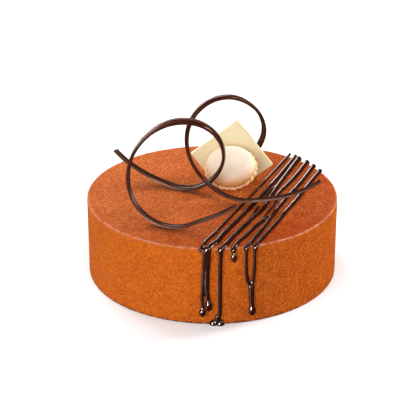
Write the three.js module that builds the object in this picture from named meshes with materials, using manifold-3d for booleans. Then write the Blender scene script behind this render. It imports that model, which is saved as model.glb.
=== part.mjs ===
// Round dessert cake with a velvety cocoa coat. Dark chocolate lines are drizzled over its top and
// run down the front as drips. On top stand a white chocolate square on one corner, a macaron shell
// that leans back on it, and two ribbon curls of dark chocolate.
// Millimetres, +Z up. The origin is the centre of the cake's base, and the front faces -Y.

import * as THREE from 'three';
import { mergeVertices } from 'three/addons/utils/BufferGeometryUtils.js';
import Module from 'manifold-3d';

const wasm = await Module();
wasm.setup();

// ---------- driving dimensions ----------

const GAP = 0.3;                    // air between two pieces that touch

const cake = { radius: 100, height: 64, rimRound: 1.6, footRound: 0.8, segments: 120 };

const square = {
  side: 47.7,
  thickness: 3.0,
  edgeRound: 0.4,
  centre: [16.1, 34, 78.9],         // middle of its front face
  lean: 4,                          // degrees that its top leans back
  roll: 7,                          // degrees that its diagonal turns to the right
  heading: -2.6,
};

const macaron = {
  radius: 21.4,
  squash: 0.91,                     // height of the oval over its width
  footHeight: 2.8,
  seam: 0.35,                       // height of the step between the foot and the dome
  domeHeight: 10,
  lean: 50,                         // degrees of its axis above the horizontal
  heading: -12,
  centreX: 15.4,
  footY: 5.6,                       // where its lowest edge touches the cake
  ruffles: 23,
  ruffleDepth: 0.35,
  segments: 69,
};

// The flares open the winding near its ends. Their grow is a share of the radius and their advance
// is in millimetres, both for a quarter turn squared. Twists are degrees for a quarter turn.
const curlLeft = {
  centre: [-27.6, -31, 101.7],
  heading: -5.8,
  radius: 35.3,
  pitch: 72.3,
  width: 7.2,
  thickness: 1.85,
  from: -167.5,
  to: 349.8,
  oval: { amount: 0.04, at: 51.5 },
  frontFlare: { from: 301, grow: 1.54, advance: 0 },
  backFlare: { from: -105.5, grow: 1.34, advance: -4.9 },
  frontTwist: { from: 163, amount: -9 },
  backTwist: { from: 50, amount: 2 },
};

const curlRight = {
  centre: [11.6, 15.9, 104.2],
  heading: 11.9,
  radius: 35.6,
  pitch: 80,
  width: 5.7,
  thickness: 1.95,
  from: -88,
  to: 344,
  oval: { amount: -0.09, at: 45 },
  frontFlare: { from: 287.4, grow: 1.94, advance: 2.5 },
  backFlare: { from: -30, grow: 0.1, advance: 0 },
  frontTwist: { from: 238, amount: -26.5 },
  backTwist: { from: 66, amount: 19 },
};

const curlSteps = 96;
const strandSides = 8;
const strandStep = 7;               // length of one step along a drizzled line
const liftShare = 0.35;             // how far a strand's centre stands off the coat, over its radius
const maxStandOff = 2.15;           // the highest that a line stands above the top
const endSwell = 1.12;              // radius of a line's round end over its own
const rimInset = 1.2;               // how far a rim blob's centre lies inside the rim and below it

// The drizzled lines, in plan: x and y on the top, from the back rim to the front rim, and the
// radius at both ends. rim is the blob where the line folds over the edge.
const lines = [
  { top: [[65, 77.5], [46.5, 32], [35.5, 5.5], [18.4, -34.5], [2.3, -73.5], [-8, -96]], radii: [1.0, 1.15],
    rim: { azimuth: -95.4, size: [1.7, 1.5, 1.6] } },
  { top: [[68.5, 73.5], [56, 37], [42.3, 4.4], [26.3, -36], [10, -75], [-1.5, -96]], radii: [1.5, 2.2],
    rim: { azimuth: -92, size: [4.1, 2.8, 2.8] } },
  { top: [[72.5, 69.5], [58, 29.5], [43.7, -7], [40, -26], [28, -51], [13.7, -83], [7.2, -95.5]],
    radii: [2.2, 2.0], rim: { azimuth: -86.4, size: [2.7, 2.6, 2.6] } },
  { top: [[79, 61.5], [66.6, 27.4], [52, -4.5], [44, -30.3], [40.2, -43]], radii: [1.6, 1.4] },
  { top: [[41, -47], [33.6, -59], [21.4, -81.3], [15.6, -95]], radii: [1.6, 1.6],
    rim: { azimuth: -80.9, size: [2.1, 2.2, 2.2] } },
  { top: [[84.3, 53], [73, 20.3], [57, -14.7], [46.3, -39.7], [39, -61.4], [25.4, -95]], radii: [1.7, 1.5],
    rim: { azimuth: -75.4, size: [1.9, 2.1, 2.0] } },
  { top: [[89, 43], [77.5, 14.5], [64.8, -17.2], [50.6, -53.6], [32, -92]], radii: [1.7, 1.5],
    rim: { azimuth: -71.2, size: [1.9, 2.1, 2.0] } },
];

// Short side strands that leave a line and join it again.
const branches = [
  { top: [[52, 17], [45, 5], [42.6, -5], [39.6, -22]], radii: [1.0, 1.0] },
  { top: [[36.5, -27], [32, -40], [27.5, -51.5]], radii: [1.0, 1.0] },
];

// Small thickenings on the top, where a line slowed down: x, y, radius.
const knots = [[35.4, 5.6, 1.7], [2.3, -73.6, 1.6], [52.9, -24.3, 2.0], [41, -47, 2.1], [40.2, -43, 1.8]];

// The drips on the wall: azimuth in degrees and height, the radius at both ends, and the end drop.
const drips = [
  { wall: [[-93.2, 62], [-93.6, 40], [-93.8, 25], [-94.4, 10]], radii: [1.3, 1.2],
    drop: { size: 2.4, stretch: 1.25 } },
  { wall: [[-91.5, 62], [-92.4, 40], [-91.9, 26], [-91.8, 15.5]], radii: [1.3, 1.2],
    drop: { size: 2.5, stretch: 1.25 } },
  { wall: [[-86.4, 61], [-86.5, 40], [-86.6, 15], [-86.9, 7], [-87.5, 2]], radii: [1.6, 1.9] },
  { wall: [[-80.9, 62], [-80.9, 60], [-80.8, 56]], radii: [1.5, 1.5],
    drop: { size: 2.4, stretch: 1.7 } },
  { wall: [[-75.4, 61], [-75.5, 48], [-75.3, 41], [-73.2, 30]], radii: [1.2, 1.2] },
  { wall: [[-71.3, 61], [-71.6, 47], [-71.8, 36], [-72.7, 30]], radii: [1.2, 1.2] },
  { wall: [[-72.9, 31], [-72.8, 22], [-72.7, 9.5]], radii: [2.0, 1.7],
    drop: { size: 2.5, stretch: 1.3 } },
];

const pool = { lobes: [[0.9, -99.9, 3.2], [5.4, -99.8, 3.4]], height: 2.6 };

// ---------- materials ----------

const material = (name, color, roughness) =>
  new THREE.MeshStandardMaterial({ name, color, roughness, metalness: 0 });

const cocoaVelvet = material('cocoa_velvet', 0xc06428, 0.95);
const whiteChocolate = material('white_chocolate', 0xf1deb2, 0.45);
const macaronShell = material('macaron_shell', 0xf5e2cc, 0.7);
const darkChocolate = material('dark_chocolate', 0x3b1d12, 0.3);

// ---------- helpers ----------

const radians = THREE.MathUtils.degToRad;

// A closed geometry as a solid that can be joined or cut.
function solidOf(geometry) {
  const bare = geometry.index ? geometry.toNonIndexed() : geometry.clone();
  bare.deleteAttribute('normal');
  bare.deleteAttribute('uv');
  const merged = mergeVertices(bare, 1e-4);
  return new wasm.Manifold(new wasm.Mesh({
    numProp: 3,
    vertProperties: new Float32Array(merged.attributes.position.array),
    triVerts: new Uint32Array(merged.index.array),
  }));
}

function geometryOf(solid) {
  const mesh = solid.getMesh();
  const geometry = new THREE.BufferGeometry();
  geometry.setAttribute('position', new THREE.BufferAttribute(new Float32Array(mesh.vertProperties), 3));
  geometry.setIndex(new THREE.BufferAttribute(new Uint32Array(mesh.triVerts), 1));
  geometry.computeVertexNormals();
  return geometry;
}

function named(name, geometry, finish) {
  const mesh = new THREE.Mesh(geometry, finish);
  mesh.name = name;
  return mesh;
}

const polar = (azimuth, radius, z) =>
  new THREE.Vector3(radius * Math.cos(radians(azimuth)), radius * Math.sin(radians(azimuth)), z);

// ---------- drizzled chocolate ----------

// A smooth path whose section grows or shrinks evenly from one end to the other.
class StrandPath extends THREE.CatmullRomCurve3 {
  constructor(points, radii) {
    super(points, false, 'centripetal');
    this.radii = radii;
  }

  computeFrenetFrames(steps, closed) {
    const frames = super.computeFrenetFrames(steps, closed);
    for (let i = 0; i <= steps; i++) {
      const radius = THREE.MathUtils.lerp(this.radii[0], this.radii[1], i / steps);
      frames.normals[i].multiplyScalar(radius);
      frames.binormals[i].multiplyScalar(radius);
    }
    return frames;
  }
}

function roundSection(sides) {
  const corner = (_, i) => new THREE.Vector2(
    Math.cos((2 * Math.PI * i) / sides), Math.sin((2 * Math.PI * i) / sides));
  return new THREE.Shape(Array.from({ length: sides }, corner));
}

function strand(points, radii) {
  const path = new StrandPath(points, radii);
  const steps = Math.max(3, Math.round(path.getLength() / strandStep));
  return new THREE.ExtrudeGeometry(roundSection(strandSides),
    { steps, extrudePath: path, bevelEnabled: false });
}

// Height of a line's centre above the base, so that thin and thick lines stand off alike.
function topCentre(radius) {
  return cake.height + Math.min(liftShare * radius, maxStandOff - radius);
}

// A ball or an egg, turned about +Z. Small ones have fewer sides.
function ball(position, size, turn = 0) {
  const isSmall = Math.max(...size) < 1.8;
  const geometry = isSmall ? new THREE.SphereGeometry(1, 8, 5) : new THREE.SphereGeometry(1, 10, 7);
  geometry.rotateX(Math.PI / 2);
  geometry.rotateZ(0.3);
  geometry.scale(...size);
  geometry.rotateZ(turn);
  return geometry.translate(position.x, position.y, position.z);
}

// A line on the top, with round ends.
function topLine({ top, radii }) {
  const last = top.length - 1;
  const points = top.map(([x, y], i) =>
    new THREE.Vector3(x, y, topCentre(THREE.MathUtils.lerp(radii[0], radii[1], i / last))));
  const end = (point, radius) => ball(point, new Array(3).fill(radius * endSwell));
  return [strand(points, radii), end(points[0], radii[0]), end(points[last], radii[1])];
}

// The blob where a line folds over the rim: sizes are along the rim, outwards and up.
function rimBlob({ azimuth, size }) {
  const [along, outward, up] = size;
  const centre = polar(azimuth, cake.radius - rimInset, cake.height - rimInset);
  return ball(centre, [outward, along, up], radians(azimuth));
}

// A drip on the wall, with its end drop.
function wallDrip({ wall, radii, drop }) {
  const centreRadius = cake.radius + liftShare * radii[0];
  const points = wall.map(([azimuth, z]) => polar(azimuth, centreRadius, z));
  const pieces = [strand(points, radii)];
  if (drop) {
    const { size, stretch } = drop;
    const azimuth = wall[wall.length - 1][0];
    pieces.push(ball(points[points.length - 1], [size * 0.9, size, size * stretch], radians(azimuth)));
  }
  return pieces;
}

// The puddle at the foot of the longest drip, cut level with the base.
function poolLobe([x, y, radius]) {
  const lobe = ball(new THREE.Vector3(x, y, 0.2), [radius, radius, pool.height]);
  const below = new THREE.BoxGeometry(20, 20, 20).translate(x, y, -10);
  return solidOf(lobe).subtract(solidOf(below));
}

// ---------- cake ----------

function roundedCornerPoints(x, z, radius, fromDegrees, steps) {
  const points = [];
  for (let i = 0; i <= steps; i++) {
    const angle = radians(fromDegrees + (90 * i) / steps);
    points.push(new THREE.Vector2(x + radius * Math.cos(angle), z + radius * Math.sin(angle)));
  }
  return points;
}

// Turned about +Z, with a soft rim and a tucked-in foot.
function cakeBody() {
  const { radius, height, rimRound, footRound, segments } = cake;
  const outline = [
    new THREE.Vector2(0, 0),
    ...roundedCornerPoints(radius - footRound, footRound, footRound, -90, 2),
    ...roundedCornerPoints(radius - rimRound, height - rimRound, rimRound, 0, 4),
    new THREE.Vector2(0, height),
  ];
  return new THREE.LatheGeometry(outline, segments).rotateX(Math.PI / 2);
}

function cakeGeometry() {
  const chocolate = [
    ...lines.flatMap(topLine),
    ...branches.flatMap(topLine),
    ...lines.filter((line) => line.rim).map((line) => rimBlob(line.rim)),
    ...knots.map(([x, y, radius]) =>
      ball(new THREE.Vector3(x, y, topCentre(radius)), [radius, radius, Math.min(radius, maxStandOff)])),
    ...drips.flatMap(wallDrip),
  ];
  const solids = [...chocolate.map(solidOf), ...pool.lobes.map(poolLobe)];
  return geometryOf(solids.reduce((whole, piece) => whole.add(piece), solidOf(cakeBody())));
}

// ---------- white chocolate square ----------

// Standing on one corner and leaning back. The corner that would sink into the cake is cut off
// level, just above the top.
function squareGeometry() {
  const { side, thickness, edgeRound, centre, lean, roll, heading } = square;
  const half = side / 2 - edgeRound;
  const outline = new THREE.Shape([
    new THREE.Vector2(-half, -half),
    new THREE.Vector2(half, -half),
    new THREE.Vector2(half, half),
    new THREE.Vector2(-half, half),
  ]);
  const plate = new THREE.ExtrudeGeometry(outline, {
    depth: thickness - 2 * edgeRound,
    bevelEnabled: true,
    bevelThickness: edgeRound,
    bevelSize: edgeRound,
    bevelSegments: 1,
  });
  plate.translate(0, 0, edgeRound - thickness);
  plate.rotateZ(radians(45 - roll));
  plate.rotateX(radians(90 - lean));
  plate.rotateZ(radians(heading));
  plate.translate(...centre);
  const block = new THREE.BoxGeometry(200, 200, 100).translate(0, 0, cake.height + GAP - 50);
  return geometryOf(solidOf(plate).subtract(solidOf(block)));
}

// ---------- macaron shell ----------

// Half outline of the shell: flat base, bulging foot, a small step in, then the dome.
function macaronOutline() {
  const { radius, footHeight, seam, domeHeight } = macaron;
  const footShape = [[0, 0], [0.95, 0], [1, 0.3], [0.985, 0.75], [0.955, 1]];
  const foot = footShape.map(([across, up]) => new THREE.Vector2(across * radius, up * footHeight));
  const domeBase = footHeight + seam;
  const domeSteps = 7;
  const fullness = 0.85;            // under 1 makes the dome flatter on top and steeper at its edge
  const dome = [];
  for (let i = 0; i < domeSteps; i++) {
    const angle = (Math.PI / 2) * (i / domeSteps);
    const across = foot[2].x * 0.975 * Math.cos(angle) ** fullness;
    dome.push(new THREE.Vector2(across, domeBase + domeHeight * Math.sin(angle)));
  }
  return [...foot, ...dome, new THREE.Vector2(0, domeBase + domeHeight)];
}

// The foot's edge goes in and out in uneven frills; the dome stays smooth.
function ruffle(geometry) {
  const { footHeight, ruffles, ruffleDepth } = macaron;
  const position = geometry.attributes.position;
  const point = new THREE.Vector3();
  for (let i = 0; i < position.count; i++) {
    point.fromBufferAttribute(position, i);
    const inFoot = point.z > 0 && point.z <= footHeight * 0.8;
    const angle = Math.atan2(point.y, point.x);
    const wave = Math.sin(ruffles * angle) + 0.5 * Math.sin((ruffles - 10) * angle + 1);
    const reach = inFoot ? 1 + (ruffleDepth * wave) / Math.hypot(point.x, point.y) : 1;
    position.setXYZ(i, point.x * reach, point.y * reach, point.z);
  }
  return geometry;
}

// Turned to lean back, then lowered until its edge is a gap above the cake.
function macaronGeometry() {
  const { squash, lean, heading, centreX, footY, segments } = macaron;
  const shell = ruffle(new THREE.LatheGeometry(macaronOutline(), segments).rotateX(Math.PI / 2));
  shell.scale(1, squash, 1);
  shell.rotateX(radians(90 - lean));
  shell.rotateZ(radians(heading));
  const position = shell.attributes.position;
  let lowest = 0;
  for (let i = 1; i < position.count; i++) {
    if (position.getZ(i) < position.getZ(lowest)) {
      lowest = i;
    }
  }
  shell.translate(centreX, footY - position.getY(lowest), cake.height + GAP - position.getZ(lowest));
  return geometryOf(solidOf(shell));
}

// ---------- chocolate curls ----------

const quarterTurnsPast = (angle, start) => Math.max(0, angle - start) / 90;

// A ribbon wound once round a level axis, whose two ends open out and settle on the cake. The
// angle runs in degrees round the axis, 90 at the top.
class CurlPath extends THREE.Curve {
  constructor(curl) {
    super();
    this.curl = curl;
    const turn = radians(curl.heading);
    this.axis = new THREE.Vector3(Math.sin(turn), -Math.cos(turn), 0);
    this.side = new THREE.Vector3(Math.cos(turn), Math.sin(turn), 0);
    this.up = new THREE.Vector3(0, 0, 1);
    this.arcLengthDivisions = 400;
  }

  angleAt(t) {
    return THREE.MathUtils.lerp(this.curl.from, this.curl.to, t);
  }

  outwardAt(t) {
    const angle = radians(this.angleAt(t));
    return this.side.clone().multiplyScalar(Math.cos(angle)).addScaledVector(this.up, Math.sin(angle));
  }

  getPoint(t) {
    const { centre, radius, pitch, oval, frontFlare, backFlare } = this.curl;
    const angle = this.angleAt(t);
    const front = quarterTurnsPast(angle, frontFlare.from);
    const back = quarterTurnsPast(backFlare.from, angle);
    const ovalness = oval.amount * Math.cos(radians(2 * (angle - oval.at)));
    const reach = radius * (1 + frontFlare.grow * front ** 2 + backFlare.grow * back ** 2 + ovalness);
    const along = (pitch * (angle - 90)) / 360
      + frontFlare.advance * front ** 2 + backFlare.advance * back ** 2;
    return new THREE.Vector3(...centre)
      .addScaledVector(this.outwardAt(t), reach)
      .addScaledVector(this.axis, along);
  }

  twistAt(t) {
    const { frontTwist, backTwist } = this.curl;
    const angle = this.angleAt(t);
    return radians(frontTwist.amount * quarterTurnsPast(angle, frontTwist.from)
      + backTwist.amount * quarterTurnsPast(backTwist.from, angle));
  }

  // The ribbon's flat side faces away from the axis of the winding, and twists near its ends.
  computeFrenetFrames(steps) {
    const frames = { tangents: [], normals: [], binormals: [] };
    for (let i = 0; i <= steps; i++) {
      const t = this.getUtoTmapping(i / steps);
      const tangent = this.getTangent(t);
      const across = this.outwardAt(t).cross(tangent).normalize();
      const normal = tangent.clone().cross(across)
        .multiplyScalar(Math.cos(this.twistAt(t)))
        .addScaledVector(across, -Math.sin(this.twistAt(t)));
      frames.tangents.push(tangent);
      frames.normals.push(normal);
      frames.binormals.push(tangent.clone().cross(normal));
    }
    return frames;
  }
}

function curlGeometry(curl) {
  const halfThick = curl.thickness / 2;
  const halfWide = curl.width / 2;
  const section = new THREE.Shape([
    new THREE.Vector2(-halfThick, -halfWide),
    new THREE.Vector2(halfThick, -halfWide),
    new THREE.Vector2(halfThick, halfWide),
    new THREE.Vector2(-halfThick, halfWide),
  ]);
  return new THREE.ExtrudeGeometry(section,
    { steps: curlSteps, extrudePath: new CurlPath(curl), bevelEnabled: false });
}

// ---------- assembly ----------

const part = new THREE.Group();
part.add(
  named('cake', cakeGeometry(), cocoaVelvet),
  named('plaque', squareGeometry(), whiteChocolate),
  named('macaron', macaronGeometry(), macaronShell),
  named('curl_left', curlGeometry(curlLeft), darkChocolate),
  named('curl_right', curlGeometry(curlRight), darkChocolate),
);

export default part;
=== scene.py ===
import math
import random

import bmesh
import bpy
from mathutils import Matrix, Vector, noise


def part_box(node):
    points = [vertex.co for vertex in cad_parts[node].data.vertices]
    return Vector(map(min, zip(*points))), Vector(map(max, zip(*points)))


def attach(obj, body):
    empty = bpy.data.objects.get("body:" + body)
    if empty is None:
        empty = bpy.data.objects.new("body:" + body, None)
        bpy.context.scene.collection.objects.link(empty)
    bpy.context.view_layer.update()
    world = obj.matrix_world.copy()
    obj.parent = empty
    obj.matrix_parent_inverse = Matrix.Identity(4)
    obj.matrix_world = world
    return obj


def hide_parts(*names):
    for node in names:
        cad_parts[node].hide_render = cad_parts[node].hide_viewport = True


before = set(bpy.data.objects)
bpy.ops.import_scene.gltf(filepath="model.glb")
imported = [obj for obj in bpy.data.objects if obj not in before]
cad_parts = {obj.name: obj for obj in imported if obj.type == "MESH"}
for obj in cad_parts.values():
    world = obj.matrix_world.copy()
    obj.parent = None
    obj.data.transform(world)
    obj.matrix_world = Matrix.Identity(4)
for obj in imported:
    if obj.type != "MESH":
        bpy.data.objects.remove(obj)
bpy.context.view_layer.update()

MM = 0.001

# ---------- the cake's own measures, in metres ----------

LOW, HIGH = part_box("cake")
RADIUS = (HIGH.x - LOW.x) / 2
HEIGHT = 64 * MM
RIM_ROUND = 1.6 * MM
FOOT_ROUND = 0.8 * MM

# The coat's mesh: the distance between its rings, and its steps round the axis.
COAT_SPACING = 1.25 * MM
COAT_STEPS = 504
SPIN_WEDGES = 12

# How far the middle of a strand lies above the top, and off the wall, as a share of its radius,
# and the most that a strand on the top may stand proud of it.
LIFT_SHARE = 0.6
DRIP_LIFT_SHARE = 0.35
MAX_STAND_OFF = 2.15 * MM

# How much a strand's thickness drifts, on the top and on the wall.
LINE_DRIFT = 0.10
DRIP_DRIFT = 0.06

# The drizzle's mesh: the step along a strand, the facets of a bead, and how it melts together.
STRAND_STEP = 0.8 * MM
BLOB_SEGMENTS = 28
BLOB_RINGS = 18
MELT_VOXEL = 0.35 * MM
SETTLE_ROUNDS = 6

# The drizzled lines, in millimetres: x and y on the top from the back end to the front end, the
# radii at evenly spaced places along the line, and the bead that hangs over the rim: its azimuth
# in degrees, and its half sizes along the rim, outwards and upwards.
LINES = [
    {"top": [(66, 77.5), (47.3, 32), (36.6, 5.5), (19.4, -34.5), (2.8, -73.5), (-4.4, -88.2),
             (-6.8, -96)], "radii": (1.2, 1.1, 1.4), "rim": (-95.1, 1.7, 1.5, 1.6)},
    {"top": [(70.6, 73.5), (56.9, 37), (44, 4.4), (36.9, -13), (26.4, -37), (9, -75), (3.8, -88.2),
             (-0.5, -95)],
     "radii": (1.8, 1.75, 2.6), "rim": (-92.2, 3.1, 3.0, 3.3)},
    {"top": [(73.2, 69.5), (59, 29.5), (51.5, 7.5), (46.8, -7), (42.8, -22), (37.8, -36),
             (29.2, -52), (14.6, -83), (9.6, -94.5)],
     "radii": (2.5, 1.8, 2.3), "rim": (-86.5, 2.3, 2.7, 2.9)},
    {"top": [(79.6, 61.5), (66.6, 27.4), (52.4, -4.5), (50.2, -18)], "radii": (2.3, 1.85, 1.6)},
    {"top": [(42.3, -48), (34.6, -60), (24.3, -81.3), (20.2, -88.2), (17.6, -95)],
     "radii": (1.7, 1.8), "rim": (-81.1, 2.1, 3.1, 2.4)},
    {"top": [(84.6, 53), (72.5, 20.3), (57.6, -14.7), (48.2, -39), (40.8, -60), (29.8, -88.2),
             (26.9, -95)], "radii": (2.0, 1.7), "rim": (-75.5, 2.0, 2.7, 2.4)},
    {"top": [(89.3, 43), (77.9, 14.5), (65.6, -17.2), (57, -37), (50.7, -53.6), (44.4, -68),
             (35.6, -88.2), (33.3, -93.5)], "radii": (1.9, 1.7), "rim": (-71.6, 2.1, 2.7, 2.4)},
]
# Short strands that run from one line to the next.
BRANCHES = [
    {"top": [(50.6, 10.5), (46.6, 2.7), (43.8, -4.6), (42.2, -12), (42.6, -19)],
     "radii": (1.0, 0.9)},
    {"top": [(36, -28), (32.6, -39), (28, -51.5)], "radii": (0.9, 1.0)},
    {"top": [(50.2, -17), (47.2, -27.5), (42.4, -40), (39.4, -47)], "radii": (1.1, 0.75)},
]
# Thicker spots where strands meet: x, y and radius in millimetres.
KNOTS = [(36.6, 5.6, 1.8), (2.8, -73.6, 1.7), (53.7, -24.5, 2.0), (42.3, -48, 2.1)]
# The runs down the wall: azimuth in degrees and height in millimetres from the rim downwards, the
# radii, and the drop at the end: its half width in millimetres, and its half height as a share
# of that.
DRIPS = [
    {"wall": [(-93.2, 62), (-93.4, 53), (-93.7, 42), (-94.1, 30), (-94.4, 22), (-94.25, 10.8)],
     "radii": (1.8, 1.3), "drop": (2.65, 1.2)},
    {"wall": [(-91.7, 62), (-91.9, 53), (-92.3, 42), (-92.3, 31), (-92.0, 24), (-91.6, 16.5)],
     "radii": (1.9, 2.1, 1.7), "drop": (2.8, 1.45)},
    {"wall": [(-86.5, 61), (-86.7, 50), (-86.8, 30), (-86.8, 12), (-87.1, 7), (-87.7, 3)],
     "radii": (1.75, 1.7)},
    {"wall": [(-81.1, 62), (-81.1, 60), (-81.0, 56.5)], "radii": (1.4, 1.6), "drop": (2.3, 1.6)},
    {"wall": [(-75.5, 61), (-75.5, 50), (-75.4, 43), (-74.9, 37), (-73.6, 31)],
     "radii": (1.25, 1.5)},
    {"wall": [(-71.7, 61), (-71.8, 50), (-71.9, 42), (-72.2, 36), (-72.9, 31)],
     "radii": (1.3, 1.5)},
    {"wall": [(-73.1, 31.5), (-73.0, 21), (-72.85, 10.5)], "radii": (2.5, 2.2, 2.0),
     "drop": (2.9, 1.4)},
]
# The two lobes of the puddle: x, y and radius, and their height, in millimetres.
POOL_LOBES = [(0.9, -99.9, 3.3), (6.1, -100.5, 3.1)]
POOL_HEIGHT = 4.0

# Angles are in degrees from here on.
SQUARE = {"side": 47.7 * MM, "thickness": 3.0 * MM, "lean": 4, "roll": 7, "heading": -2.6,
          "centre": Vector((16.1, 34, 78.9)) * MM}

MACARON = {"radius": 21.4 * MM, "squash": 0.91, "foot": 2.8 * MM, "seam": 0.35 * MM,
           "dome": 10 * MM, "lean": 50, "heading": -12}

# Each curl winds round a level axis, and its angles run from the winding's right over its top. A
# flare is the angle at which it starts, how much the radius grows and how far the ribbon moves
# along the axis over the next quarter turn. A twist is the angle at which it starts, and how far
# the ribbon tips over the next quarter turn. "oval" is how much wider than round the winding is,
# and in which direction.
CURLS = {
    "curl_left": {
        "centre": Vector((-27.6, -31, 101.7)) * MM, "heading": -5.8, "radius": 35.3 * MM,
        "pitch": 72.3 * MM, "width": 7.2 * MM, "thickness": 1.85 * MM, "turn": (-167.5, 349.8),
        "oval": (0.04, 51.5), "front_flare": (301, 1.54, 0),
        "back_flare": (-105.5, 1.34, -4.9 * MM),
        "front_twist": (163, -9), "back_twist": (50, 2), "top_twist": -13},
    "curl_right": {
        "centre": Vector((11.6, 15.9, 104.2)) * MM, "heading": 11.9, "radius": 35.6 * MM,
        "pitch": 80 * MM, "width": 5.7 * MM, "thickness": 1.95 * MM, "turn": (-88, 344),
        "oval": (-0.09, 45), "front_flare": (287.4, 1.94, 2.5 * MM), "back_flare": (-30, 0.1, 0),
        "front_twist": (238, -26.5), "back_twist": (66, 19), "top_twist": -11},
}

# A ribbon's cells along and across, how much its two ends slant, and the scale of its streaks.
RIBBON_CELLS = (360, 36)
RIBBON_SLANT = 1.2
STREAKS_PER_METRE = 8

# The groove near both edges of a ribbon: its place as a share of the width from the middle, its
# width in metres and its depth in millimetres.
GROOVE_PLACE = 0.33
GROOVE_WIDTH = 0.27 * MM
GROOVE_DEPTH = 0.6

# Edges sharper than this many degrees are softened.
SHARP_EDGE = 50

# ---------- the studio's measures, in metres ----------

MATT = ("matt",)
GLOSS = ("gloss",)
BOTH = MATT + GLOSS
WHITE = (1, 1, 1)
WARM = (1.0, 0.89, 0.85)

# Name, place and size in metres, watts, what it lights, and its colour.
SOFTBOXES = [
    ("back_left", (-0.75, 1.1, 1.25), (0.9, 0.6), 18.5, MATT, WHITE),
    ("overhead", (-0.2, 0.1, 1.5), (1.2, 1.0), 7, MATT, WHITE),
    ("left_front", (-0.85, -1.4, 0.8), (1.6, 1.1), 19, MATT, WHITE),
    ("front_high", (0.45, -1.35, 1.45), (1.3, 0.9), 13, BOTH, WHITE),
    ("right_side", (1.4, 0.62, 0.6), (0.5, 0.8), 32, MATT, WHITE),
    ("backdrop_glow", (-0.55, 2.2, 0.44), (1.6, 1.2), 31, GLOSS, WARM),
    ("low_glow", (-1.5, -0.95, -0.62), (0.7, 1.2), 9, GLOSS, WARM),
    ("right_glint", (1.4, 0.1, 0.85), (0.3, 0.3), 15, GLOSS, WHITE),
    ("glints", (-0.62, -1.12, 0.36), (0.3, 0.7), 90, GLOSS, WHITE),
]
SOFTBOX_AIM = Vector((0, 0, 0.06))

# How bright the room is on matt surfaces, in gloss and to the camera.
ROOM_ON_MATT = 0.25
ROOM_IN_GLOSS = 0.04
ROOM_SEEN = 1.0

FLOOR_REACH = 0.8
CAMERA_PLACE = Vector((-3.32, -1045.7, 536.0)) * MM
CAMERA_AIM = Vector((-3.32, 0, 50.54)) * MM
CAMERA_LENS = 123.9


# ---------- small helpers ----------

def srgb(red, green, blue):
    """A colour from 0 to 255, as the eye sees it, in the shader's own scale."""
    def channel(value):
        value /= 255
        return value / 12.92 if value <= 0.04045 else ((value + 0.055) / 1.055) ** 2.4
    return (channel(red), channel(green), channel(blue), 1.0)


def wave(point, scale, seed=0.0):
    """Smooth noise from -1 to 1 with features of about the given size in metres."""
    return noise.noise(Vector(point) / scale + Vector((seed, 3 * seed, 7 * seed)))


def within_one(value):
    return max(0.0, min(1.0, value))


def on_wall(azimuth, height, stand_off=0.0):
    """The place on the wall at an azimuth in degrees and a height in metres."""
    angle = math.radians(azimuth)
    reach = RADIUS + stand_off
    return Vector((reach * math.cos(angle), reach * math.sin(angle), height))


def finished(name, bm, material):
    """The bmesh as a piece of the cake."""
    mesh = bpy.data.meshes.new(name)
    bm.to_mesh(mesh)
    bm.free()
    mesh.materials.append(material)
    mesh.polygons.foreach_set("use_smooth", [True] * len(mesh.polygons))
    piece = bpy.data.objects.new(name, mesh)
    bpy.context.scene.collection.objects.link(piece)
    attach(piece, "root")
    return piece


def join(bm, part):
    """Adds a small bmesh to a larger one, and frees the small one."""
    mesh = bpy.data.meshes.new("part")
    part.to_mesh(mesh)
    part.free()
    bm.from_mesh(mesh)
    bpy.data.meshes.remove(mesh)


def give_thickness(piece, thickness, offset):
    wall = piece.modifiers.new("thickness", "SOLIDIFY")
    wall.thickness = thickness
    wall.offset = offset
    return wall


def soften_edges(piece, width):
    soften = piece.modifiers.new("soften", "BEVEL")
    soften.width = width
    soften.segments = 3
    soften.limit_method = "ANGLE"
    soften.angle_limit = math.radians(SHARP_EDGE)


def with_modifiers_applied(piece):
    """The piece with its modifiers worked into its mesh."""
    depsgraph = bpy.context.evaluated_depsgraph_get()
    mesh = bpy.data.meshes.new_from_object(piece.evaluated_get(depsgraph), depsgraph=depsgraph,
                                           preserve_all_data_layers=True)
    old = piece.data
    piece.modifiers.clear()
    piece.data = mesh
    mesh.name = piece.name
    bpy.data.meshes.remove(old)
    mesh.polygons.foreach_set("use_smooth", [True] * len(mesh.polygons))
    return piece


def smooth_path(points, step):
    """Points every step or so along a smooth curve through the given points."""
    ends = [2 * points[0] - points[1]] + list(points) + [2 * points[-1] - points[-2]]
    path = []
    for before, start, end, after in zip(ends, ends[1:], ends[2:], ends[3:]):
        count = max(1, round((end - start).length / step))
        for i in range(count):
            t = i / count
            path.append(0.5 * (2 * start + (end - before) * t
                               + (2 * before - 5 * start + 4 * end - after) * t ** 2
                               + (3 * start - before - 3 * end + after) * t ** 3))
    path.append(points[-1].copy())
    return path


# ---------- shader groups and materials ----------

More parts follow.
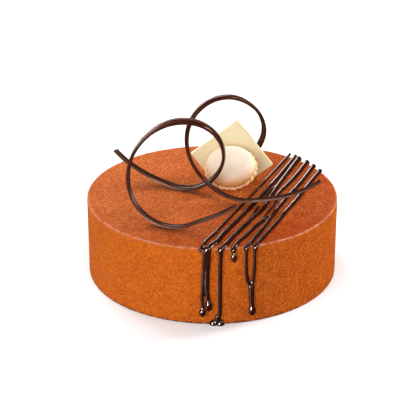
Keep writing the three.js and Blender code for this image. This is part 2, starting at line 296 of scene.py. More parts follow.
class Shader:
    """A node tree with short ways to add and join its nodes."""

    def __init__(self, tree):
        self.tree = tree

    def add(self, kind, inputs=None, **settings):
        node = self.tree.nodes.new(kind)
        for key, value in settings.items():
            setattr(node, key, value)
        for key, value in (inputs or {}).items():
            if isinstance(value, bpy.types.NodeSocket):
                self.tree.links.new(value, node.inputs[key])
            else:
                node.inputs[key].default_value = value
        return node

    def position(self):
        return self.add("ShaderNodeTexCoord").outputs["Object"]

    def noise(self, vector, scale, detail, roughness):
        inputs = {"Vector": vector, "Scale": scale, "Detail": detail, "Roughness": roughness}
        return self.add("ShaderNodeTexNoise", inputs).outputs["Fac"]

    def remap(self, value, low, high, to_low=0.0, to_high=1.0):
        inputs = {"Value": value, "From Min": low, "From Max": high,
                  "To Min": to_low, "To Max": to_high}
        return self.add("ShaderNodeMapRange", inputs).outputs["Result"]

    def math(self, operation, first, second):
        node = self.add("ShaderNodeMath", {0: first, 1: second}, operation=operation)
        return node.outputs[0]

    def scaled(self, value, share):
        return self.math("MULTIPLY", value, share)

    def mix(self, factor, first, second):
        """A colour between two colours."""
        node = self.add("ShaderNodeMix", {0: factor}, data_type="RGBA")
        for key, value in ((6, first), (7, second)):
            if isinstance(value, bpy.types.NodeSocket):
                self.tree.links.new(value, node.inputs[key])
            else:
                node.inputs[key].default_value = value
        return node.outputs[2]

    def blend(self, factor, first, second):
        """A value between two values."""
        node = self.add("ShaderNodeMix", {0: factor, 2: first, 3: second}, data_type="FLOAT")
        return node.outputs[0]

    def bump(self, height, distance):
        inputs = {"Height": height, "Distance": distance}
        return self.add("ShaderNodeBump", inputs).outputs["Normal"]

    def attribute(self, name):
        return self.add("ShaderNodeAttribute", attribute_name=name).outputs["Fac"]


def shader_group(name, outputs, build):
    """A node group that turns a scale into values that change over the surface."""
    tree = bpy.data.node_groups.new(name, "ShaderNodeTree")
    tree.interface.new_socket("Scale", in_out="INPUT", socket_type="NodeSocketFloat")
    for label in outputs:
        tree.interface.new_socket(label, in_out="OUTPUT", socket_type="NodeSocketFloat")
    shader = Shader(tree)
    entry = shader.add("NodeGroupInput")
    made = build(shader, entry.outputs)
    shader.add("NodeGroupOutput", dict(zip(outputs, made)))
    return tree


def build_grain(shader, entry):
    """Fine grains: their height, a mask of the highest ones and a mask of the pits between."""
    place = shader.position()
    fine = shader.noise(place, entry["Scale"], 2.0, 0.6)
    coarse = shader.noise(place, shader.scaled(entry["Scale"], 0.45), 2.0, 0.6)
    height = shader.math("ADD", shader.scaled(fine, 0.65), shader.scaled(coarse, 0.35))
    tops = shader.remap(height, 0.51, 0.6)
    pits = shader.remap(height, 0.49, 0.4)
    return height, tops, pits


def build_mottle(shader, entry):
    """Slow drifts of tone over the surface."""
    place = shader.position()
    slow = shader.noise(place, entry["Scale"], 2.0, 0.5)
    return (shader.remap(slow, 0.35, 0.65),)


GRAIN = shader_group("grain", ["Height", "Tops", "Pits"], build_grain)
MOTTLE = shader_group("mottle", ["Tone"], build_mottle)


def new_material(name, **constants):
    """A material whose Principled shader has the given constants on its own sockets."""
    material = bpy.data.materials.new(name)
    material.use_nodes = True
    tree = material.node_tree
    surface = tree.nodes["Principled BSDF"]
    for label, value in constants.items():
        surface.inputs[label.replace("_", " ")].default_value = value
    return material, Shader(tree), surface


def grouped(shader, group, scale):
    """A shared group's outputs, placed in this material at its own scale."""
    node = shader.add("ShaderNodeGroup", node_tree=group)
    node.inputs["Scale"].default_value = scale
    return node.outputs


def dress(shader, surface, colour, roughness, normal):
    """Joins what changes over the surface to the material's shader."""
    for label, value in (("Base Color", colour), ("Roughness", roughness), ("Normal", normal)):
        shader.tree.links.new(value, surface.inputs[label])


def cocoa_velvet():
    """Sprayed cocoa butter: matt and grainy, with a coarser grain on top, a paler rim that is
    partly painted highlight, and painted shade and sheen.
    """
    material, shader, surface = new_material(
        "cocoa_velvet", Sheen_Weight=0.03, Sheen_Roughness=0.4, Specular_IOR_Level=0.05)
    surface.inputs["Sheen Tint"].default_value = srgb(255, 190, 165)
    on_top = shader.attribute("on_top")
    side_grain = grouped(shader, GRAIN, 1120.0)
    top_grain = grouped(shader, GRAIN, 980.0)
    height = shader.blend(on_top, side_grain["Height"], top_grain["Height"])
    tops = shader.blend(on_top, side_grain["Tops"], top_grain["Tops"])
    pits = shader.blend(on_top, side_grain["Pits"], top_grain["Pits"])
    # Painted shade: this mask darkens the coat to the right and at the front of the top, on top of
    # the spray's own uneven tone.
    spray_and_painted_shade = shader.attribute("spray_and_painted_shade")
    side = shader.mix(spray_and_painted_shade, srgb(221, 104, 6), srgb(172, 69, 4))
    # Painted sheen: at the left, the top and its specks are pinker and paler than the side,
    # standing in for the haze the back-left light leaves on the top.
    top = shader.mix(spray_and_painted_shade, srgb(209, 103, 44), srgb(158, 55, 0))
    base = shader.mix(on_top, side, top)
    top_speck = shader.mix(spray_and_painted_shade, srgb(246, 160, 92), srgb(218, 104, 30))
    speck = shader.mix(on_top, srgb(238, 134, 24), top_speck)
    speckled = shader.mix(shader.scaled(tops, 0.6), base, speck)
    pitted = shader.mix(shader.scaled(pits, 0.52), speckled, srgb(120, 42, 6))
    # Painted highlight: the paler line along the rounded rim is partly worn cocoa and partly the
    # highlight that the rim catches.
    bloom = shader.scaled(shader.attribute("bloom"), 0.8)
    bloomed = shader.mix(bloom, pitted, srgb(244, 178, 150))
    # The dark foot: partly cocoa crumbs, partly painted shade where the coat meets the floor.
    foot_shaded = shader.mix(shader.attribute("foot"), bloomed, srgb(60, 26, 12))
    roughness = shader.remap(height, 0.3, 0.7, 0.75, 0.95)
    dress(shader, surface, foot_shaded, roughness, shader.bump(height, 0.0045))
    return material


def poured_chocolate():
    """Set glossy drizzle, nearly black, with a skin that is not quite even."""
    material, shader, surface = new_material("poured_chocolate", Specular_IOR_Level=0.55)
    surface.inputs["Specular Tint"].default_value = (1.0, 0.88, 0.86, 1)
    drift = grouped(shader, MOTTLE, 160.0)
    grain = grouped(shader, GRAIN, 500.0)
    colour = shader.mix(drift["Tone"], srgb(50, 18, 8), srgb(34, 11, 4))
    roughness = shader.remap(drift["Tone"], 0, 1, 0.07, 0.14)
    dress(shader, surface, colour, roughness, shader.bump(grain["Height"], 0.00006))
    return material


def curled_chocolate():
    """Scraped chocolate ribbon: paler streaks run along it, and painted shade darkens its two
    grooves.
    """
    material, shader, surface = new_material("curled_chocolate", Specular_IOR_Level=0.5)
    surface.inputs["Specular Tint"].default_value = (1.0, 0.7, 0.58, 1)
    along = shader.add("ShaderNodeUVMap", uv_map="ribbon").outputs["UV"]
    stretched = shader.add("ShaderNodeMapping", {"Vector": along, "Scale": (5.5, 1.0, 1.0)})
    streaks = shader.noise(stretched.outputs[0], 2.4, 3.0, 0.65)
    groove_and_painted_shade = shader.attribute("groove_and_painted_shade")
    drift = grouped(shader, MOTTLE, 60.0)
    dark = shader.mix(drift["Tone"], srgb(52, 18, 7), srgb(36, 12, 4))
    streaked = shader.mix(shader.remap(streaks, 0.5, 0.68), dark, srgb(118, 68, 50))
    # Painted shade: the grooves are painted darker, standing in for the shade in them.
    colour = shader.mix(shader.scaled(groove_and_painted_shade, 0.85), streaked, srgb(22, 6, 2))
    roughness = shader.blend(groove_and_painted_shade, shader.remap(streaks, 0.3, 0.7, 0.12, 0.24), 0.4)
    dress(shader, surface, colour, roughness, shader.bump(streaks, 0.00016))
    return material


def cut_chocolate():
    """The thin cut edge of a ribbon, warmer and duller than its faces."""
    material, shader, surface = new_material("cut_chocolate", Specular_IOR_Level=0.18)
    surface.inputs["Specular Tint"].default_value = (1.0, 0.6, 0.45, 1)
    grain = grouped(shader, GRAIN, 900.0)
    colour = shader.mix(grain["Tops"], srgb(58, 20, 9), srgb(84, 36, 19))
    roughness = shader.remap(grain["Height"], 0.3, 0.7, 0.34, 0.5)
    dress(shader, surface, colour, roughness, shader.bump(grain["Height"], 0.0002))
    return material


def white_chocolate():
    """Moulded white chocolate: smooth and satin, with a slow drift of cream tones."""
    material, shader, surface = new_material(
        "white_chocolate", Specular_IOR_Level=0.25, Subsurface_Weight=0.2, Subsurface_Scale=0.003,
        Coat_Weight=0.06, Coat_Roughness=0.3)
    surface.inputs["Subsurface Radius"].default_value = (1.0, 0.7, 0.4)
    drift = grouped(shader, MOTTLE, 55.0)
    grain = grouped(shader, GRAIN, 500.0)
    colour = shader.mix(drift["Tone"], srgb(236, 223, 182), srgb(230, 213, 167))
    roughness = shader.remap(drift["Tone"], 0, 1, 0.34, 0.46)
    dress(shader, surface, colour, roughness, shader.bump(grain["Height"], 0.00012))
    return material


def macaron_shell():
    """Baked almond shell: cream dome, tan low down with painted shade, a painted shadow at its
    seam, and a frill painted a lighter gold.
    """
    material, shader, surface = new_material(
        "macaron_shell", Specular_IOR_Level=0.3, Subsurface_Weight=0.15, Subsurface_Scale=0.002)
    surface.inputs["Subsurface Radius"].default_value = (1.0, 0.6, 0.35)
    drift = grouped(shader, MOTTLE, 90.0)
    grain = grouped(shader, GRAIN, 1400.0)
    pale = shader.mix(drift["Tone"], srgb(235, 219, 201), srgb(231, 208, 184))
    # Partly browning and partly painted shade: the shell is tan low down, most of all on its lower
    # side.
    tanned_and_shaded = shader.mix(shader.attribute("toast_and_low_shade"), pale, srgb(226, 164, 96))
    # Painted shadow: the brown band just above the frill stands in for the shade in the groove
    # between dome and frill.
    dome = shader.mix(shader.attribute("seam"), tanned_and_shaded, srgb(198, 116, 50))
    # Painted light: the frill is painted a lighter gold to offset the shade it sits in, facing
    # down.
    frill = shader.mix(grain["Pits"], srgb(255, 206, 148), srgb(206, 132, 74))
    colour = shader.mix(shader.attribute("frill"), dome, frill)
    roughness = shader.remap(drift["Tone"], 0, 1, 0.5, 0.62)
    dress(shader, surface, colour, roughness, shader.bump(grain["Height"], 0.00025))
    return material


# ---------- the cocoa coat ----------

def arc(centre, radius, start, sweep, steps):
    """Points along an arc in the outline's plane, as distance from the axis and height."""
    points = []
    for i in range(steps + 1):
        angle = math.radians(start + sweep * i / steps)
        points.append((centre[0] + radius * math.cos(angle), centre[1] + radius * math.sin(angle)))
    return points


def coat_outline():
    """From the middle of the base, up the wall and over the rim to the middle of the top."""
    foot = arc((RADIUS - FOOT_ROUND, FOOT_ROUND), FOOT_ROUND, -90, 90, 3)
    rim = arc((RADIUS - RIM_ROUND, HEIGHT - RIM_ROUND), RIM_ROUND, 0, 90, 6)
    straight = HEIGHT - RIM_ROUND - FOOT_ROUND
    rows = round(straight / COAT_SPACING)
    wall = [(RADIUS, FOOT_ROUND + straight * i / rows) for i in range(1, rows)]
    flat = RADIUS - RIM_ROUND
    rings = round(flat / COAT_SPACING)
    top = [(flat * (1 - i / rings), HEIGHT) for i in range(1, rings + 1)]
    return [(0.0, 0.0), (RADIUS / 2, 0.0)] + foot + wall + rim + top


def spun(outline, steps):
    """The outline turned round the vertical axis in equal wedges, as a closed bmesh."""
    wedge = bmesh.new()
    chain = [wedge.verts.new((reach, 0, height)) for reach, height in outline]
    edges = [wedge.edges.new(pair) for pair in zip(chain, chain[1:])]
    bmesh.ops.spin(wedge, geom=chain + edges, cent=(0, 0, 0), axis=(0, 0, 1), dvec=(0, 0, 0),
                   angle=math.tau / SPIN_WEDGES, steps=steps // SPIN_WEDGES, use_merge=False,
                   use_normal_flip=False, use_duplicate=False)
    bm = bmesh.new()
    for _ in range(SPIN_WEDGES):
        bmesh.ops.rotate(wedge, verts=wedge.verts, cent=(0, 0, 0),
                         matrix=Matrix.Rotation(math.tau / SPIN_WEDGES, 3, "Z"))
        join(bm, wedge.copy())
    wedge.free()
    bmesh.ops.remove_doubles(bm, verts=bm.verts, dist=2e-6)
    bmesh.ops.recalc_face_normals(bm, faces=bm.faces)
    return bm


def make_coat(material):
    """The coat, with masks for its top, its pale rim and dark foot (both partly painted light),
    and its spray tone with painted shade.
    """
    bm = spun(coat_outline(), COAT_STEPS)
    bm.normal_update()
    bloom = bm.verts.layers.float.new("bloom")
    on_top = bm.verts.layers.float.new("on_top")
    foot = bm.verts.layers.float.new("foot")
    spray_and_painted_shade = bm.verts.layers.float.new("spray_and_painted_shade")
    inset = 0.45 * RIM_ROUND
    bloom_width = 0.7 * MM
    underside = 0.1 * MM
    for vert in bm.verts:
        place = vert.co.copy()
        reach = math.hypot(place.x, place.y)
        if place.z < underside:
            continue
        relief = (0.10 * wave(place, 1.9 * MM) + 0.12 * wave(place, 5 * MM, 2)
                  + 0.14 * wave(place, 17 * MM, 5))
        vert.co += vert.normal * relief * MM
        # The paler rim line: partly worn cocoa, partly painted highlight along the rounded rim.
        off_rim = math.hypot(reach - (RADIUS - inset), place.z - (HEIGHT - inset))
        uneven = 0.6 + 0.75 * wave(place, 3.2 * MM, 9) + 0.4 * wave(place, 1.5 * MM, 3)
        vert[bloom] = within_one(uneven * math.exp(-(off_rim / bloom_width) ** 2))
        vert[on_top] = 1.0 if place.z > HEIGHT - 0.2 * RIM_ROUND else 0.0
        # Painted shade: darker to the right and at the front of the top, where less light falls.
        # The waves are the spray's own uneven tone.
        to_the_right = (place.x - 5 * MM) / (55 * MM)
        to_the_front = max(0.0, -place.y - 25 * MM) / (60 * MM)
        vert[spray_and_painted_shade] = within_one(0.4 + 0.35 * math.tanh(to_the_right)
                                 + 0.4 * vert[on_top] * to_the_front
                                 + 0.18 * wave(place, 9 * MM, 6) + 0.14 * wave(place, 3 * MM, 1))
        # The dark ragged foot: partly crumbs, partly painted shade at the base.
        ragged = 0.75 * MM + 0.55 * MM * wave((place.x, place.y, 0), 2.2 * MM, 4)
        vert[foot] = 1.0 if place.z < ragged else 0.0
    coat = finished("cake_coat", bm, material)
    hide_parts("cake")


def make_grains(material, bunches, bunch_size):
    """Loose grains of sprayed cocoa, more of them at the left of the top."""
    draw = random.Random(11)
    bm = bmesh.new()
    for _ in range(bunches):
        bunch = bmesh.new()
        for _ in range(bunch_size):
            size = draw.uniform(0.16, 0.38) * MM
            if draw.random() < 0.6:
                reach = RADIUS * math.sqrt(draw.random()) * 0.985
                centre = on_wall(draw.gauss(200, 75), HEIGHT, reach - RADIUS)
            else:
                centre = on_wall(draw.uniform(0, 360), draw.uniform(1.5, 62) * MM)
            turn = (Matrix.Rotation(draw.uniform(0, math.tau), 4, "Z")
                    @ Matrix.Rotation(draw.random(), 4, "X"))
            stretch = Matrix.Diagonal((1, draw.uniform(0.7, 1.2), draw.uniform(0.6, 1), 1))
            bmesh.ops.create_icosphere(bunch, subdivisions=1, radius=size,
                                       matrix=Matrix.Translation(centre) @ turn @ stretch)
        join(bm, bunch)
    on_top = bm.verts.layers.float.new("on_top")
    spray_and_painted_shade = bm.verts.layers.float.new("spray_and_painted_shade")
    for vert in bm.verts:
        vert[on_top] = 1.0 if vert.co.z > HEIGHT - 0.5 * MM else 0.0
        vert[spray_and_painted_shade] = 0.5 + 0.5 * wave(vert.co, 6 * MM, 2)
    finished("cocoa_grains", bm, material)


# ---------- drizzle ----------

def top_centre(radius):
    """The height of the middle of a strand of this radius that lies on the top."""
    return HEIGHT + min(LIFT_SHARE * radius, MAX_STAND_OFF - radius)


def add_ball(bm, centre, sizes, azimuth=0.0):
    """A ball with its half sizes outwards, along the rim and upwards."""
    matrix = (Matrix.Translation(centre) @ Matrix.Rotation(math.radians(azimuth), 4, "Z")
              @ Matrix.Diagonal((*sizes, 1)))
    ball = bmesh.new()
    bmesh.ops.create_uvsphere(ball, u_segments=BLOB_SEGMENTS, v_segments=BLOB_RINGS, radius=1,
                              matrix=matrix)
    join(bm, ball)


def radius_at(radii, share):
    """The radius at a share of the way along, from radii at evenly spaced places."""
    place = share * (len(radii) - 1)
    start = min(int(place), len(radii) - 2)
    return radii[start] + (radii[start + 1] - radii[start]) * (place - start)


def add_strand(bm, points, radii, unevenness, swell=0.0, swell_length=1.0):
    """A round strand whose thickness drifts a little, and swells towards its last point."""
    path = smooth_path(points, STRAND_STEP)
    curve = bpy.data.curves.new("strand", "CURVE")
    curve.dimensions = "3D"
    curve.bevel_depth = 1.0
    curve.bevel_resolution = 3
    curve.use_fill_caps = True
    spline = curve.splines.new("POLY")
    spline.points.add(len(path) - 1)
    for i, (point, place) in enumerate(zip(spline.points, path)):
        share = i / (len(path) - 1)
        radius = radius_at(radii, share)
        drift = 1 + unevenness * (wave(place, 9 * MM, 3) + 0.5 * wave(place, 3 * MM, 8))
        near_end = max(0.0, 1 - (place - path[-1]).length / swell_length)
        point.co = (*place, 1)
        point.radius = radius * drift + swell * near_end ** 1.6
    holder = bpy.data.objects.new("strand", curve)
    mesh = bpy.data.meshes.new_from_object(holder)
    bm.from_mesh(mesh)
    bpy.data.objects.remove(holder)
    bpy.data.curves.remove(curve)
    bpy.data.meshes.remove(mesh)


def rim_place(azimuth):
    """Where a line that has run over the rim hangs as a bead."""
    return on_wall(azimuth, HEIGHT - 1.5 * MM, 0.3 * MM)


def add_top_line(bm, top, radii, rim=None):
    """A line over the top, which runs on over the rim to its bead if it has one."""
    last = len(top) - 1
    radii = [radius * MM for radius in radii]
    points = []
    for i, (x, y) in enumerate(top):
        radius = radius_at(radii, i / last)
        points.append(Vector((x * MM, y * MM, top_centre(radius))))
    if rim:
        points.append(rim_place(rim[0]))
    add_strand(bm, points, radii, LINE_DRIFT)
    rounded_end = 1.12
    for point, radius in ((points[0], radii[0]), (points[-1], radii[-1])):
        add_ball(bm, point, [radius * rounded_end] * 3)


def add_rim_bead(bm, azimuth, along_rim, outwards, upwards):
    sizes = (outwards * MM, along_rim * MM, upwards * MM)
    add_ball(bm, rim_place(azimuth), sizes, azimuth)


def add_drip(bm, wall, radii, drop=None):
    """A run down the wall, which ends in a drop that swells outwards or thins into the puddle."""
    radii = [radius * MM for radius in radii]
    stand_off = DRIP_LIFT_SHARE * radii[0]
    points = [on_wall(azimuth, height * MM, stand_off) for azimuth, height in wall]
    if not drop:
        add_strand(bm, points, radii, DRIP_DRIFT)
        return
    size, stretch = drop[0] * MM, drop[1]
    azimuth, height = wall[-1]
    neck = on_wall(azimuth, height * MM + 2.4 * size, stand_off)
    belly = on_wall(azimuth, height * MM, 0.75 * size)
    if (points[-2] - belly).length > 3 * size:
        points[-1:] = [neck, belly]
    else:
        points[-1] = belly
    add_strand(bm, points, radii, DRIP_DRIFT, 0.4 * (size - radii[-1]), 2.0 * size)
    add_ball(bm, belly, (0.85 * size, size, stretch * size), azimuth)


def add_pool(bm):
    """The puddle at the foot of the longest drip, with the drip widening into it."""
    for x, y, radius in POOL_LOBES:
        lobe = bmesh.new()
        matrix = (Matrix.Translation(Vector((x, y, 0.2)) * MM)
                  @ Matrix.Diagonal((radius * MM, radius * MM, POOL_HEIGHT * MM, 1)))
        bmesh.ops.create_uvsphere(lobe, u_segments=BLOB_SEGMENTS, v_segments=BLOB_RINGS, radius=1,
                                  matrix=matrix)
        geometry = lobe.verts[:] + lobe.edges[:] + lobe.faces[:]
        bmesh.ops.bisect_plane(lobe, geom=geometry, plane_co=(0, 0, 0), plane_no=(0, 0, -1),
                               clear_outer=True)
        rim = [edge for edge in lobe.edges if edge.is_boundary]
        bmesh.ops.holes_fill(lobe, edges=rim, sides=0)
        join(bm, lobe)
    base = on_wall(-87.8, 1.4 * MM, 0.4 * MM)
    cone = bmesh.new()
    bmesh.ops.create_cone(cone, cap_ends=True, segments=BLOB_SEGMENTS, radius1=2.8 * MM,
                          radius2=1.7 * MM, depth=7 * MM,
                          matrix=Matrix.Translation(base + Vector((0, 0, 3.2 * MM))))
    join(bm, cone)


def make_drizzle(name, lines, branches, knots, drips, pool, material):
    """Some of the lines with their beads and drips, melted into one skin."""
    bm = bmesh.new()
    for line in lines:
        add_top_line(bm, line["top"], line["radii"], line.get("rim"))
        if "rim" in line:
            add_rim_bead(bm, *line["rim"])
    for branch in branches:
        add_top_line(bm, branch["top"], branch["radii"])
    for x, y, radius in knots:
        add_ball(bm, Vector((x * MM, y * MM, top_centre(radius * MM))), [radius * MM] * 3)
    for drip in drips:
        add_drip(bm, drip["wall"], drip["radii"], drip.get("drop"))
    if pool:
        add_pool(bm)
    drizzle = finished(name, bm, material)
    melt = drizzle.modifiers.new("melt", "REMESH")
    melt.mode = "VOXEL"
    melt.voxel_size = MELT_VOXEL
    settle = drizzle.modifiers.new("settle", "SMOOTH")
    settle.factor = 0.5
    settle.iterations = SETTLE_ROUNDS
    with_modifiers_applied(drizzle)


# ---------- chocolate curls ----------

def quarter_turns_past(angle, start):
    return max(0.0, angle - start) / 90


def ribbon_centre(curl, angle):
    """The middle of the ribbon and the way out from the winding's axis, at an angle in degrees."""
    heading = math.radians(curl["heading"])
    axis = Vector((math.sin(heading), -math.cos(heading), 0))
    side = Vector((math.cos(heading), math.sin(heading), 0))
    turned = math.radians(angle)
    outward = side * math.cos(turned) + Vector((0, 0, 1)) * math.sin(turned)
    front_from, front_grow, front_advance = curl["front_flare"]
    back_from, back_grow, back_advance = curl["back_flare"]
    front = quarter_turns_past(angle, front_from)
    back = quarter_turns_past(back_from, angle)
    amount, at = curl["oval"]
    ovalness = amount * math.cos(math.radians(2 * (angle - at)))
    reach = curl["radius"] * (1 + front_grow * front ** 2 + back_grow * back ** 2 + ovalness)
    along = (curl["pitch"] * (angle - 90) / 360 + front_advance * front ** 2
             + back_advance * back ** 2)
    return curl["centre"] + outward * reach + axis * along, outward


def ribbon_frame(curl, angle):
    """The ribbon's middle, its width direction and its outer face's normal."""
    centre, outward = ribbon_centre(curl, angle)
    ahead = ribbon_centre(curl, angle + 0.5)[0]
    behind = ribbon_centre(curl, angle - 0.5)[0]
    tangent = (ahead - behind).normalized()
    across = outward.cross(tangent).normalized()
    normal = tangent.cross(across)
    twist = math.radians(curl["front_twist"][1] * quarter_turns_past(angle, curl["front_twist"][0])
                         + curl["back_twist"][1] * quarter_turns_past(curl["back_twist"][0], angle)
                         + curl["top_twist"] * math.exp(-((angle - 90) / 45) ** 2))
    return (centre, across * math.cos(twist) + normal * math.sin(twist),
            normal * math.cos(twist) - across * math.sin(twist))


def make_curl(node, face_material, edge_material):
    """A flat strip with fine ridges, bent along the winding, then given its thickness."""
    curl = CURLS[node]
    start, end = curl["turn"]
    along, across = RIBBON_CELLS
    bm = bmesh.new()
    uv_name = bm.loops.layers.uv.new("ribbon")
    groove_and_painted_shade = bm.verts.layers.float.new("groove_and_painted_shade")
    bmesh.ops.create_grid(bm, x_segments=along, y_segments=across, size=0.5, calc_uvs=False)
    length = math.radians(end - start) * curl["radius"]
    for cell in bm.faces:
        for loop in cell.loops:
            flat = loop.vert.co
            loop[uv_name].uv = (flat.y + 0.5, (flat.x + 0.5) * length * STREAKS_PER_METRE)
    for vert in bm.verts:
        share, lateral = vert.co.x + 0.5, vert.co.y
        slant = RIBBON_SLANT * lateral * (share - 0.5)
        angle = start + (end - start) * share + slant
        centre, width_way, out_way = ribbon_frame(curl, angle)
        # The groove mask sinks the grooves, and the material also paints shade into them.
        off_groove = (abs(lateral) - GROOVE_PLACE) * curl["width"]
        vert[groove_and_painted_shade] = math.exp(-(off_groove / GROOVE_WIDTH) ** 2)
        ridges = 0.05 * math.cos(lateral * math.tau * 4.5 + 2 * math.sin(share * 9))
        frayed = noise.noise(Vector((share * 45, 9 * lateral, 0)))
        ragged = 0.1 * MM * frayed * (2 * lateral) ** 6
        crown = 0.5 * (1 - 4 * lateral ** 2)
        vert.co = (centre + width_way * (lateral * curl["width"] + ragged)
                   + out_way * (ridges + crown - GROOVE_DEPTH * vert[groove_and_painted_shade] - 0.15) * MM)
    bmesh.ops.recalc_face_normals(bm, faces=bm.faces)
    ribbon = finished(node + "_ribbon", bm, face_material)
    ribbon.data.materials.append(edge_material)
    wall = give_thickness(ribbon, curl["thickness"], 0)
    wall.material_offset_rim = 1
    soften_edges(ribbon, 0.5 * MM)
    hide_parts(node)
    with_modifiers_applied(ribbon)


# ---------- white chocolate square ----------

def make_square(material):
    """The square, stood on one corner, with the corner that is sunk in the cake cut off."""
    cells = 40
    side = SQUARE["side"]
    bm = bmesh.new()
    bmesh.ops.create_grid(bm, x_segments=cells, y_segments=cells, size=side / 2)
    for vert in bm.verts:
        edge = max(abs(vert.co.x), abs(vert.co.y)) > 0.499 * side
        uneven = 1 + (0.004 * wave(vert.co, 5 * MM, 6) if edge else 0)
        warp = 0.12 * MM * wave(vert.co, 18 * MM, 2)
        vert.co = Vector((vert.co.x * uneven, vert.co.y * uneven, warp))
    turn = (Matrix.Translation(SQUARE["centre"])
            @ Matrix.Rotation(math.radians(SQUARE["heading"]), 4, "Z")
            @ Matrix.Rotation(math.radians(90 - SQUARE["lean"]), 4, "X")
            @ Matrix.Rotation(math.radians(45 - SQUARE["roll"]), 4, "Z"))
    bmesh.ops.transform(bm, matrix=turn, verts=bm.verts)
    geometry = bm.verts[:] + bm.edges[:] + bm.faces[:]
    bmesh.ops.bisect_plane(bm, geom=geometry, plane_co=(0, 0, HEIGHT - 1.5 * MM),
                           plane_no=(0, 0, -1), clear_outer=True)
    square = finished("plaque_plate", bm, material)
    give_thickness(square, SQUARE["thickness"], -1)
    soften_edges(square, 0.45 * MM)
    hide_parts("plaque")
    with_modifiers_applied(square)


# ---------- macaron shell ----------

def macaron_outline():
    """From the middle of the flat underside, over the frill and the crown to the top."""
    radius, foot, seam, dome = (MACARON[key] for key in ("radius", "foot", "seam", "dome"))
    under = [(0.0, 0.0), (0.5 * radius, 0.0), (0.8 * radius, 0.0)]
    frill = []
    rows = 10
    steps = 30
    for i in range(rows + 1):
        share = i / rows
        bulge = 0.96 + 0.045 * math.sin(math.pi * min(1, share * 1.1) ** 0.8)
        frill.append((bulge * radius, share * foot))
    frill.append((0.9 * radius, foot + 0.3 * seam))
    crown = []
    for i in range(steps):
        angle = math.pi / 2 * i / steps
        reach = 0.945 * radius * math.cos(angle) ** 0.82
        crown.append((reach, foot + seam + dome * math.sin(angle)))
    return under + frill + crown + [(0.0, foot + seam + dome)]


def pressed(place):
    """How deep the shell is dented, low on its left, with a soft fold beside the dent."""
    bearing = math.radians(-116)
    out = place.x * math.cos(bearing) + place.y * math.sin(bearing) - 0.86 * MACARON["radius"]
    aside = place.y * math.cos(bearing) - place.x * math.sin(bearing)
    dent = 0.55 * MM * math.exp(-(out / (3.6 * MM)) ** 2 - (aside / (6.5 * MM)) ** 2)
    fold = 0.2 * MM * math.exp(-((out + 5.5 * MM) / (1.8 * MM)) ** 2 - (aside / (6 * MM)) ** 2)
    return dent - fold


def make_macaron(material):
    """The shell, with masks for its frill, its tan low side (partly painted shade), and the
    painted shadow at the seam over the frill.
    """
    foot, radius = MACARON["foot"], MACARON["radius"]
    steps = 300
    bm = spun(macaron_outline(), steps)
    bm.normal_update()
    frill = bm.verts.layers.float.new("frill")
    toast_and_low_shade = bm.verts.layers.float.new("toast_and_low_shade")
    seam = bm.verts.layers.float.new("seam")
    for vert in bm.verts:
        place = vert.co.copy()
        up = (place.z - foot) / MACARON["dome"]
        # Partly browning and partly painted shade: the tan grows towards the foot and on the
        # shell's lower side.
        low_side = max(0.0, 0.38 - 0.62 * place.y / radius)
        band = max(0.0, 1 - max(0.0, up) / 0.9)
        vert[toast_and_low_shade] = min(1.0, 1.15 * low_side * band + 0.5 * max(0.0, -place.y / radius))
        # Painted shadow in the groove at the seam, fading up the dome.
        vert[seam] = 0.9 * max(0.0, 1 - max(0.0, up) / 0.22)
        on_frill = 0.05 * MM < place.z < foot * 1.02
        if on_frill:
            azimuth = math.atan2(place.y, place.x)
            ruffle = 0.35 * math.sin(23 * azimuth + 2.5 * wave(place, 12 * MM, 8))
            fold = 0.4 * wave(place, 1.8 * MM, 1) + 0.25 * wave(place, 0.9 * MM, 5) + ruffle
            vert.co += vert.normal * fold * MM
            vert.co.z += 0.3 * MM * wave(place, 3 * MM, 12)
        else:
            uneven = 0.12 * wave(place, 7 * MM, 4) + 0.02 * wave(place, 1 * MM, 7)
            vert.co += vert.normal * uneven * MM
            if place.z > foot:
                vert.co.z -= pressed(place)
        vert[frill] = 1.0 if place.z < foot * 1.05 else 0.0
    bmesh.ops.transform(bm, verts=bm.verts, matrix=(
        Matrix.Rotation(math.radians(MACARON["heading"]), 4, "Z")
        @ Matrix.Rotation(math.radians(90 - MACARON["lean"]), 4, "X")
        @ Matrix.Diagonal((1, MACARON["squash"], 1, 1))))
    low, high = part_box("macaron")
    lowest, highest = [Vector([pick(vert.co[i] for vert in bm.verts) for i in range(3)])
                       for pick in (min, max)]
    bmesh.ops.translate(bm, verts=bm.verts, vec=(low + high - lowest - highest) / 2)
    macaron = finished("macaron_top", bm, material)
    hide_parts("macaron")


# ---------- floor, light and camera ----------

def make_floor():
    """A plain pale floor, left out of reflections."""
    bm = bmesh.new()
    bmesh.ops.create_grid(bm, x_segments=1, y_segments=1, size=FLOOR_REACH)
    mesh = bpy.data.meshes.new("floor")
    bm.to_mesh(mesh)
    bm.free()
    material, _, surface = new_material("pale_floor", Roughness=0.7, Specular_IOR_Level=0.2)
    surface.inputs["Base Color"].default_value = (0.86, 0.86, 0.86, 1)
    mesh.materials.append(material)
    floor = bpy.data.objects.new("floor", mesh)
    floor.visible_glossy = False
    floor.visible_shadow = False
    bpy.context.scene.collection.objects.link(floor)


def make_softbox(name, place, size, watts, lights, colour):
    """A softbox that faces the cake and lights its matt surfaces, shows in its gloss, or both."""
    light = bpy.data.lights.new(name, "AREA")
    light.shape = "RECTANGLE"
    light.size, light.size_y = size
    light.energy = watts
    light.color = colour
    softbox = bpy.data.objects.new(name, light)
    softbox.location = place
    aim = SOFTBOX_AIM - Vector(place)
    softbox.rotation_euler = aim.to_track_quat("-Z", "Y").to_euler()
    softbox.visible_camera = False
    softbox.visible_diffuse = "matt" in lights
    softbox.visible_glossy = "gloss" in lights
    bpy.context.scene.collection.objects.link(softbox)


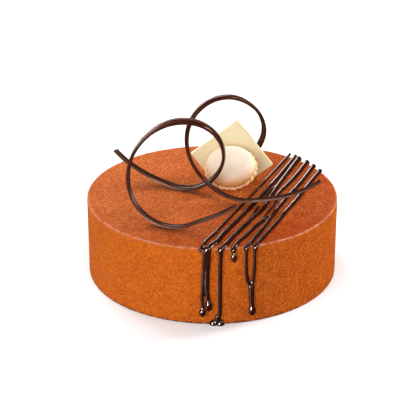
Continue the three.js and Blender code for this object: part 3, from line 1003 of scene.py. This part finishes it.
def make_room():
    """A dim white room, dimmer still in reflections, and plain white where the camera sees it."""
    world = bpy.data.worlds.new("studio")
    world.use_nodes = True
    shader = Shader(world.node_tree)
    room = world.node_tree.nodes["Background"]
    room.inputs["Color"].default_value = (*WHITE, 1)
    room.inputs["Strength"].default_value = ROOM_ON_MATT
    dim = shader.add("ShaderNodeBackground", {"Color": (*WHITE, 1), "Strength": ROOM_IN_GLOSS})
    seen = shader.add("ShaderNodeBackground", {"Color": (*WHITE, 1), "Strength": ROOM_SEEN})
    path = shader.add("ShaderNodeLightPath")
    lit = shader.add("ShaderNodeMixShader", {0: path.outputs["Is Glossy Ray"], 1: room.outputs[0],
                                             2: dim.outputs[0]})
    mixed = shader.add("ShaderNodeMixShader", {0: path.outputs["Is Camera Ray"], 1: lit.outputs[0],
                                               2: seen.outputs[0]})
    out = world.node_tree.nodes["World Output"]
    world.node_tree.links.new(mixed.outputs[0], out.inputs["Surface"])
    bpy.context.scene.world = world
    bpy.context.scene.view_settings.view_transform = "Standard"


def make_camera():
    data = bpy.data.cameras.new("camera")
    data.sensor_width = 36
    data.lens = CAMERA_LENS
    data.clip_start, data.clip_end = 0.05, 50
    camera = bpy.data.objects.new("camera", data)
    camera.location = CAMERA_PLACE
    aim = CAMERA_AIM - camera.location
    camera.rotation_euler = aim.to_track_quat("-Z", "Y").to_euler()
    bpy.context.scene.collection.objects.link(camera)
    bpy.context.scene.camera = camera


# ---------- assembly ----------

VELVET = cocoa_velvet()
POURED = poured_chocolate()
CURLED = curled_chocolate()
CUT = cut_chocolate()

make_camera()
make_floor()
for softbox in SOFTBOXES:
    make_softbox(*softbox)
make_room()
make_coat(VELVET)
make_grains(VELVET, bunches=52, bunch_size=50)
make_drizzle("drizzle_left", LINES[:3], BRANCHES[:2], KNOTS[:2], DRIPS[:3], True, POURED)
make_drizzle("drizzle_right", LINES[3:], BRANCHES[2:], KNOTS[2:], DRIPS[3:], False, POURED)
for curl_node in CURLS:
    make_curl(curl_node, CURLED, CUT)
make_square(white_chocolate())
make_macaron(macaron_shell())
